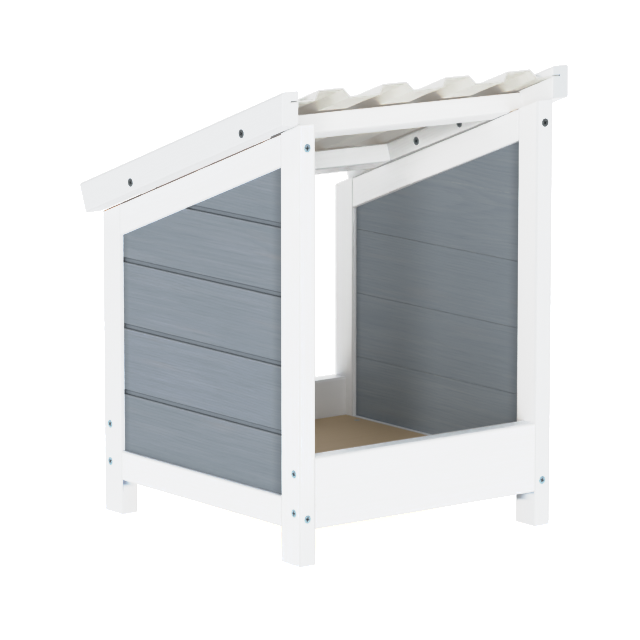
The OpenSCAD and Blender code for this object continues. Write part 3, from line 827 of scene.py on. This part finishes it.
def board_profile(h, lip, mock=None):
    """Section of a wall board as (distance out from its inner face, height above the inner joint line)."""
    g0, g1 = TONG_X - TONG_T / 2 - 0.15, TONG_X + TONG_T / 2 + 0.15
    t0, t1 = TONG_X - TONG_T / 2, TONG_X + TONG_T / 2
    sh = LIP + GAP
    T = BOARD_T

    def arris(cx, cy, r, a0, a1, n=4):
        return [(cx + r * math.cos(math.radians(a0 + (a1 - a0) * k / n)), cy + r * math.sin(math.radians(a0 + (a1 - a0) * k / n))) for k in range(n + 1)]

    def shoulder(z):
        return [(T, z - sh - 3.6)] + arris(T - 1.5, z - sh - 1.5, 1.5, 0, 90, 6)

    pts = []
    pts += arris(0.4, 0.4, 0.4, 180, 270, 3)
    pts += [(g0 - 0.3, 0), (g0, 0.3), (g0, TONG_H + 0.5), (g1, TONG_H + 0.5), (g1, -lip)]
    pts += arris(T - RECESS - 0.4, -lip + 0.4, 0.4, 270, 360, 3)
    pts += [(T - RECESS, -0.15), (T - RECESS + 0.15, 0)]
    pts += arris(T - 0.6, 0.6, 0.6, 270, 360, 4)
    pts += [(T, 2.2)]
    if mock:
        pts += shoulder(mock)
        pts += [(T - 5.0, mock - sh), (T - 5.0, mock - LIP)]
        pts += arris(T - RECESS - 0.4, mock - LIP + 0.4, 0.4, 270, 360, 3)
        pts += [(T - RECESS, mock - 0.15), (T - RECESS + 0.15, mock)]
        pts += arris(T - 0.6, mock + 0.6, 0.6, 270, 360, 4)
        pts += [(T, mock + 2.2)]
    pts += shoulder(h)
    pts += [(t1, h - sh), (t1, h + TONG_H - 0.6)]
    pts += [(t1 - 0.6, h + TONG_H), (t0 + 0.6, h + TONG_H), (t0, h + TONG_H - 0.6), (t0, h - 0.28)]
    pts += [(1.6, h - 0.28)]
    pts += arris(0.5, h - 0.28 - 0.5, 0.5, 90, 180, 3)
    pts += [(0, h - 2.4), (0, 2.0)]
    return pts


def wall_board(side, sx, i):
    node = f"{side}_board_{i}"
    u0, u1 = TW - GROOVE, D - TW + GROOVE
    z0 = WALL_Z + (i - 1) * BOARD_H
    h = 3 * BOARD_H if i == 4 else BOARD_H
    lip = min(LIP, z0 - PANEL_Z)
    prof = board_profile(h, lip, BOARD_H if i == 4 else None)
    n = len(prof)
    # the top edge of the wall runs parallel to the roof, hidden in the top rail
    m = 0.3
    cut_pt = P(0, 0, panel_top(0, m))
    stations = max(2, int((u1 - u0) / 20))
    bm = bmesh.new()
    rings = []
    for k in range(stations + 1):
        u = u0 + (u1 - u0) * k / stations
        rings.append([bm.verts.new(P(sx * (BX0 + a), u, z0 + b)) for a, b in prof])
    for ra, rb in zip(rings, rings[1:]):
        for j in range(n):
            q = (j + 1) % n
            bm.faces.new((ra[j], ra[q], rb[q], rb[j]))
    bm.faces.new(list(reversed(rings[0])))
    bm.faces.new(rings[-1])
    bmesh.ops.recalc_face_normals(bm, faces=bm.faces)
    # slope cut
    if i == 4:
        bmesh.ops.bisect_plane(bm, geom=list(bm.verts) + list(bm.edges) + list(bm.faces), plane_co=cut_pt, plane_no=EP, clear_outer=True)
        edges = [e for e in bm.edges if e.is_boundary]
        bmesh.ops.holes_fill(bm, edges=edges, sides=0)
    o = P(sx * BX0, u0, z0)
    ob = link("v_" + node, bm)
    return done(ob, node, "stained_boards", o, EZ, EX * sx, EY, ((u1 - u0) * MM, BOARD_H * MM, BOARD_T * MM), deg=38,
                tone=(0.35, 0.90, 0.60, 0.35)[i - 1] if sx < 0 else (0.55, 0.35, 0.60, 0.50)[i - 1])


for side, sx in (("left", -1), ("right", 1)):
    for i in range(1, 5):
        wall_board(side, sx, i)


# ------------------------------------------------------------------ roof frame
BARGE_L = 417.5
RAIL_UP = 0.8                               # the planed rails swell almost up to the sheet
KERF_D, KERF_P, KERF_H, KERF_END = 11.0, 24.8, 2.1, 409.0
for side, sx in (("left", -1), ("right", 1)):
    out = EX * sx
    bm = bmesh.new()
    box_in(bm, R(sx * (GX - 5), -80, KERF_P), out, EP, ES, KERF_D + 5, KERF_H, KERF_END + 80)
    # the left barge board is painted darker as shade; the front ends go darker, partly as end grain, partly as painted
    # shade, most on the right
    timber(side + "_barge_board", R(sx * GX, 0, 0.7), out, EP, ES, TT, TW, BARGE_L, cutter=bm,
           plane_a=(P(0, 1, 0), EY), ca=0.5, cb=0.5, wob=0.10,
           tone=coat_and_shade(-7.5 if sx < 0 else 0.0, end_grain_and_shade=-5.5 if sx < 0 else -12.5,
                     end=lambda q: (q[:, 0] * CT + q[:, 2] * ST) < 1.25 - 0.7 * ST))
    timber(side + "_roof_batten", R(sx * (GX - TT), 56.5 + TW, 0), out, EP, ES, TT, TT + RAIL_UP, 297.5 - 56.5 - TW, wob=0.08,
           tone=coat_and_shade(0.6, bare_top=TT + RAIL_UP))
timber("front_roof_rail", R(-GX + 0.1, 56.5, 0), ES, EP, EX, TW, TT + RAIL_UP, 2 * GX - 0.2, ca=0.15, cb=0.15, wob=0.08,
       tone=coat_and_shade(0.2, bare_top=TT + RAIL_UP))
timber("rear_roof_rail", R(-GX + 0.1, 297.5, 0), ES, EP, EX, TW, TT + RAIL_UP, 2 * GX - 0.2, ca=0.15, cb=0.15, wob=0.08,
       tone=coat_and_shade(0.8, bare_top=TT + RAIL_UP))


# ------------------------------------------------------------------ ribbed sheet
def ribbed_sheet():
    t, rib_h, pitch, foot, top = 1.5, 11.6, 92.5, 51.5, 35.6
    half = GX + KERF_D - 1
    s0, s1, p0 = -8.0, 408.5, 24.9
    fl = math.atan((rib_h - t) / ((foot - top) / 2))
    sh = t * math.tan(fl / 2) / 2
    lo, hi = t / 2, rib_h - t / 2
    corners = [(-half, lo)]
    for i in range(4):
        cx = (i - 1.5) * pitch
        corners += [(cx - foot / 2 + sh, lo), (cx - top / 2 + sh, hi), (cx + top / 2 - sh, hi), (cx + foot / 2 - sh, lo)]
    corners.append((half, lo))
    # fillet each bend
    rad = 1.9
    line = [corners[0]]
    for a, b, c in zip(corners, corners[1:], corners[2:]):
        A, B, C = Vector(a), Vector(b), Vector(c)
        d0, d1 = (B - A).normalized(), (C - B).normalized()
        turn = d0.angle_signed(d1)
        k = rad * math.tan(abs(turn) / 2)
        p_in, p_out = B - d0 * k, B + d1 * k
        nrm = Vector((-d0.y, d0.x)) * (1 if d0.x * d1.y - d0.y * d1.x > 0 else -1)
        cen = p_in + nrm * rad
        a0 = math.atan2(p_in.y - cen.y, p_in.x - cen.x)
        a1 = math.atan2(p_out.y - cen.y, p_out.x - cen.x)
        while a1 - a0 > math.pi:
            a1 -= 2 * math.pi
        while a1 - a0 < -math.pi:
            a1 += 2 * math.pi
        for q in range(6):
            ang = a0 + (a1 - a0) * q / 5
            line.append((cen.x + rad * math.cos(ang), cen.y + rad * math.sin(ang)))
    line.append(corners[-1])
    # extra points on the long flats so that they can bow a little
    dense = [line[0]]
    for a, b in zip(line, line[1:]):
        n = max(1, int(math.hypot(b[0] - a[0], b[1] - a[1]) / 8))
        for k in range(1, n + 1):
            dense.append((a[0] + (b[0] - a[0]) * k / n, a[1] + (b[1] - a[1]) * k / n))
    pts = [Vector(q) for q in dense]
    nrms = []
    for i in range(len(pts)):
        d = (pts[min(i + 1, len(pts) - 1)] - pts[max(i - 1, 0)]).normalized()
        nrms.append(Vector((-d.y, d.x)))
    stations = [(s0, 0.18), (s0 + 0.18, 0.0)] + [(s0 + 0.18 + (s1 - s0 - 0.36) * k / 44, 0.0) for k in range(1, 44)] + [(s1 - 0.18, 0.0), (s1, 0.18)]

    def bow(x, s):
        # a light, springy sheet: it lifts a little between the ribs at its free front end
        e = math.exp(-max(0.0, s - s0) / 55.0)
        inside = max(0.0, 1 - (abs(x) / (half - 14)) ** 6) if abs(x) < half - 14 else 0.0
        w = 0.28 * math.sin(x * 0.031 + 0.7) * e + 0.10 * math.sin(s * 0.043 + x * 0.011) + 0.07 * math.sin(x * 0.083 - s * 0.017)
        return w * inside

    bm = bmesh.new()
    rings = []
    m = len(pts)
    for s, c in stations:
        up, dn = [], []
        for q, nv in zip(pts, nrms):
            endc = 0.15 if q in (pts[0], pts[-1]) else 0.0
            w = bow(q.x, s)
            tt = t / 2 - c
            up.append(bm.verts.new(R(q.x + nv.x * tt, s, p0 + q.y + nv.y * tt + w)))
            dn.append(bm.verts.new(R(q.x - nv.x * tt, s, p0 + q.y - nv.y * tt + w)))
        rings.append(up + dn[::-1])
    n = 2 * m
    for ra, rb in zip(rings, rings[1:]):
        for j in range(n):
            q = (j + 1) % n
            bm.faces.new((ra[j], ra[q], rb[q], rb[j]))
    for ring in (rings[0], rings[-1]):
        for j in range(m - 1):
            bm.faces.new((ring[j], ring[j + 1], ring[n - 2 - j], ring[n - 1 - j]))
    bmesh.ops.recalc_face_normals(bm, faces=bm.faces)
    ob = link("v_roof_sheet", bm)
    return done(ob, "roof_sheet", "roof_sheet", R(-half, s0, p0), EX, EP, ES, ((s1 - s0) * MM, 2 * half * MM, rib_h * MM), body="sheet", tone=0.5, deg=50)


ribbed_sheet()


# ------------------------------------------------------------------ screws
def screw_mesh(length, d, hd):
    """A countersunk cross-recessed wood screw, head top at z = 0, pointing down."""
    rim, hr, sr = 0.5, hd / 2, d / 2
    cone = (hd - d) / 2
    bm = bmesh.new()
    lathe(bm, Matrix.Identity(4), [(0, 0.0), (hr * 0.55, 0.0), (hr - 0.42, -0.015), (hr - 0.16, -0.07), (hr - 0.03, -0.2), (hr, -0.34), (hr, -rim),
                                   (hr - 0.12, -rim - 0.12), (sr + 0.3, -rim - cone + 0.3), (sr, -rim - cone - 0.25), (sr, -rim - cone - 1.2), (0, -rim - cone - 1.2)], seg=40)
    bmesh.ops.recalc_face_normals(bm, faces=bm.faces)
    head = link("screw_head", bm)
    # cross recess: two tapering blades and a centre cone
    c = bmesh.new()
    top, depth = 0.6, -0.30 * hd
    for k in (0, 1):
        m = Matrix.Rotation(k * math.pi / 2, 4, "Z")
        l1, l2 = hd * 0.285, hd * 0.10
        w1, w2 = hd * 0.068, hd * 0.042
        zs = [(top, l1 + 0.1, w1 + 0.02), (depth * 0.55, (l1 + l2) / 2, (w1 + w2) / 2), (depth, l2, w2)]
        vs = []
        for z, l, w in zs:
            vs += [m @ Vector((x * MM, y * MM, z * MM)) for x, y in ((-l, -w), (l, -w), (l, w), (-l, w))]
        faces = [(3, 2, 1, 0), (8, 9, 10, 11)]
        for a in (0, 4):
            for j in range(4):
                q = (j + 1) % 4
                faces.append((a + j, a + q, a + 4 + q, a + 4 + j))
        mesh_faces(c, vs, faces)
    lathe(c, Matrix.Rotation(math.radians(22.5), 4, "Z"), [(0, 0.55), (hd * 0.125, 0.55), (hd * 0.11, -0.1), (hd * 0.035, depth - 0.25), (0, depth - 0.4)], seg=8)
    cut(head, c)
    bm = bmesh.new()
    bm.from_mesh(head.data)
    old = head.data
    bpy.data.objects.remove(head)
    bpy.data.meshes.remove(old)
    # threaded shank, overlapping the head's neck from inside
    seg, pitch, per = 16, 2.3, 7
    z_top = -rim - cone - 1.1
    z_smooth = -length * 0.36
    z_tip = -length
    zs = [z_top, z_smooth]
    n = int((z_smooth - z_tip - 1.0) / pitch * per)
    zs += [z_smooth - 1.0 - (z_smooth - 1.0 - z_tip - 0.6) * k / n for k in range(n + 1)]
    core, crest = sr * 0.70, sr - 0.02
    rings = []
    for z in zs:
        ring = []
        for k in range(seg):
            a = 2 * math.pi * k / seg
            if z >= z_smooth:
                r = sr * 0.93 if z < z_top else sr - 0.05
                r = sr * 0.9
            else:
                ph = ((z - z_smooth) / pitch - k / seg) % 1.0
                tri = max(0.0, 1 - abs(ph - 0.5) / 0.26)
                taper = min(1.0, (z - z_tip) / (d * 1.25))
                r = (core + (crest - core) * tri) * (0.10 + 0.90 * taper)
            ring.append(bm.verts.new(Vector((r * MM * math.cos(a), r * MM * math.sin(a), z * MM))))
        rings.append(ring)
    top_c = bm.verts.new(Vector((0, 0, (z_top) * MM)))
    tip = bm.verts.new(Vector((0, 0, z_tip * MM)))
    for k in range(seg):
        j = (k + 1) % seg
        bm.faces.new((top_c, rings[0][k], rings[0][j]))
        bm.faces.new((rings[-1][j], rings[-1][k], tip))
    for a, b in zip(rings, rings[1:]):
        for k in range(seg):
            j = (k + 1) % seg
            bm.faces.new((a[k], b[k], b[j], a[j]))
    bmesh.ops.recalc_face_normals(bm, faces=bm.faces)
    me = bpy.data.meshes.new("screw")
    bm.to_mesh(me)
    bm.free()
    return me


def build_screws():
    kinds = {}
    for node, length, d, hd, pos, out, sink in SCREWS:
        kinds.setdefault(node, []).append((length, d, hd, pos, out))
    for node, items in kinds.items():
        proto = screw_mesh(*items[0][:3])
        bm = bmesh.new()
        locs, tones = [], []
        for length, d, hd, pos, out in items:
            m = facing(pos, out, rnd.uniform(0, math.pi / 2))
            tmp = proto.copy()
            before = len(bm.verts)
            base = np.array([v.co[:] for v in proto.vertices])
            tmp.transform(m)
            bm.from_mesh(tmp)
            bpy.data.meshes.remove(tmp)
            locs.append(base)
            # the screws are all the same zinc: the heads in the roof frame and one in the right post are coloured near
            # black as painted shade
            head_shade = {"barge_screws": 0.95, "roof_batten_screws": 0.7}.get(node, 0.0)
            if node == "frame_screws" and pos.x > 0 and pos.z > 0.3 and out.y < 0:
                head_shade = 0.97
            tones.append(np.full(len(base), head_shade, np.float32))
        ob = link("v_" + node, bm)
        bpy.data.meshes.remove(proto)
        # shading and coordinates: loc is the screw's own frame, so that the recess can be found by its depth
        b2 = bmesh.new()
        b2.from_mesh(ob.data)
        for f in b2.faces:
            f.smooth = True
        for e in b2.edges:
            e.smooth = len(e.link_faces) == 2 and e.calc_face_angle(0.0) < math.radians(34)
        b2.to_mesh(ob.data)
        b2.free()
        me = ob.data
        loc = np.concatenate(locs)
        n = len(me.vertices)
        co = np.zeros(n * 3, np.float32)
        me.vertices.foreach_get("co", co)
        a = me.attributes.new("loc", "FLOAT_VECTOR", "POINT")
        a.data.foreach_set("vector", loc.astype(np.float32).ravel())
        a = me.attributes.new("grain", "FLOAT_VECTOR", "POINT")
        a.data.foreach_set("vector", co)
        a = me.attributes.new("tone", "FLOAT", "POINT")
        a.data.foreach_set("value", np.concatenate(tones))
        me.materials.append(MAT["screws"])
        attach(ob, "box")
        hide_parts(node)


build_screws()


# ------------------------------------------------------------------ stage, light, camera
WORLD, FLOOR_GLOW = 0.345, 0.865
SUNS = (("key_left", -56, 13, 9, 0.79, (1.0, 0.995, 0.985)),
        ("front_fill", -37, 8, 20, 0.58, (1.0, 1.0, 1.0)),
        ("low_front", 0, 8, 25, 0.20, (1.0, 1.0, 1.0)),
        ("top", -60, 72, 50, 0.53, (1.0, 1.0, 1.0)),
        ("back_fill", 150, 30, 40, 0.64, (0.99, 0.995, 1.0)))
# a print-like tone curve: the near-whites are lifted and held just under the paper white
TONE = ((0.0, 0.0), (0.15, 0.145), (0.30, 0.292), (0.38, 0.378), (0.46, 0.560), (0.535, 0.710), (0.60, 0.785), (0.72, 0.828), (0.83, 0.862), (0.90, 0.882), (0.945, 0.902), (0.982, 1.0))


def stage():
    bm = bmesh.new()
    mesh_faces(bm, [Vector((x, y, 0)) for x, y in ((-14, -14), (14, -14), (14, 14), (-14, 14))], [(0, 1, 2, 3)])
    floor = link("stage_floor", bm)
    t = Tree("pale_studio_floor")
    tc = t.t.nodes.new("ShaderNodeTexCoord")
    n = t.noise(tc.outputs["Object"], 3.0, 3.0, 0.5)
    col = t.mix(n, (0.345, 0.345, 0.345), (0.355, 0.355, 0.355))
    p = t.principled(Base_Color=col, Roughness=0.9, Specular_IOR_Level=0.1, Emission_Color=(1.0, 1.0, 1.0), Emission_Strength=FLOOR_GLOW)
    # the floor is open from below, so that the underside of the box can be looked at
    geo = t.t.nodes.new("ShaderNodeNewGeometry")
    tr = t.t.nodes.new("ShaderNodeBsdfTransparent")
    m = t.t.nodes.new("ShaderNodeMixShader")
    t.t.links.new(geo.outputs["Backfacing"], m.inputs[0])
    t.t.links.new(p.outputs[0], m.inputs[1])
    t.t.links.new(tr.outputs[0], m.inputs[2])
    t.t.links.new(m.outputs[0], t.out.inputs[0])
    floor.data.materials.append(t.mat)

    world = bpy.data.worlds.new("studio")
    scene.world = world
    world.use_nodes = True
    bg = world.node_tree.nodes["Background"]
    bg.inputs[0].default_value = (0.985, 0.992, 1.0, 1)
    bg.inputs[1].default_value = WORLD

    def sun(name, az, el, spread, strength, color=(1, 1, 1)):
        """Soft parallel light from azimuth az (0 = the open front, negative = from the left)."""
        d = bpy.data.lights.new(name, "SUN")
        d.angle = math.radians(spread)
        d.energy = strength
        d.color = color
        o = bpy.data.objects.new(name, d)
        a, e = math.radians(az), math.radians(el)
        o.rotation_mode = "QUATERNION"
        o.rotation_quaternion = Vector((-math.sin(a) * math.cos(e), math.cos(a) * math.cos(e), -math.sin(e))).to_track_quat("-Z", "Y")
        o.location = (math.sin(a) * 3, -math.cos(a) * 3, 2)
        scene.collection.objects.link(o)
        return o

    for row in SUNS:
        sun(*row)
    scene.view_settings.view_transform = "Standard"
    scene.view_settings.look = "None"
    scene.view_settings.exposure = 0.0
    scene.view_settings.gamma = 1.0
    scene.view_settings.use_curve_mapping = True
    cm = scene.view_settings.curve_mapping
    top = TONE[-1][0]
    cm.white_level = (top, top, top)
    cu = cm.curves[3]
    for x, y in TONE[1:-1]:
        cu.points.new(x / top, y)
    for pt in cu.points:
        pt.handle_type = "AUTO_CLAMPED"
    cm.update()


stage()


def camera():
    az, el = math.radians(-37.5677), math.radians(10.1073)
    back = Vector((math.sin(az) * math.cos(el), -math.cos(az) * math.cos(el), math.sin(el)))
    right = Vector((math.cos(az), math.sin(az), 0))
    up = back.cross(right)
    f = 4636.77
    aim = (-back + right * (-5.717 / f) + up * (-7.800 / f)).normalized()
    z = -aim
    x = right - z * right.dot(z)
    x.normalize()
    y = z.cross(x)
    cam = bpy.data.cameras.new("camera")
    cam.lens = f / 640 * 36
    cam.sensor_width = 36
    cam.clip_start, cam.clip_end = 0.1, 60
    ob = bpy.data.objects.new("camera", cam)
    m = Matrix((x, y, z)).transposed().to_4x4()
    m.translation = Vector((0, (194.93 - YM) * MM, 0.250)) + back * 5.54404
    ob.matrix_world = m
    scene.collection.objects.link(ob)
    scene.camera = ob


camera()
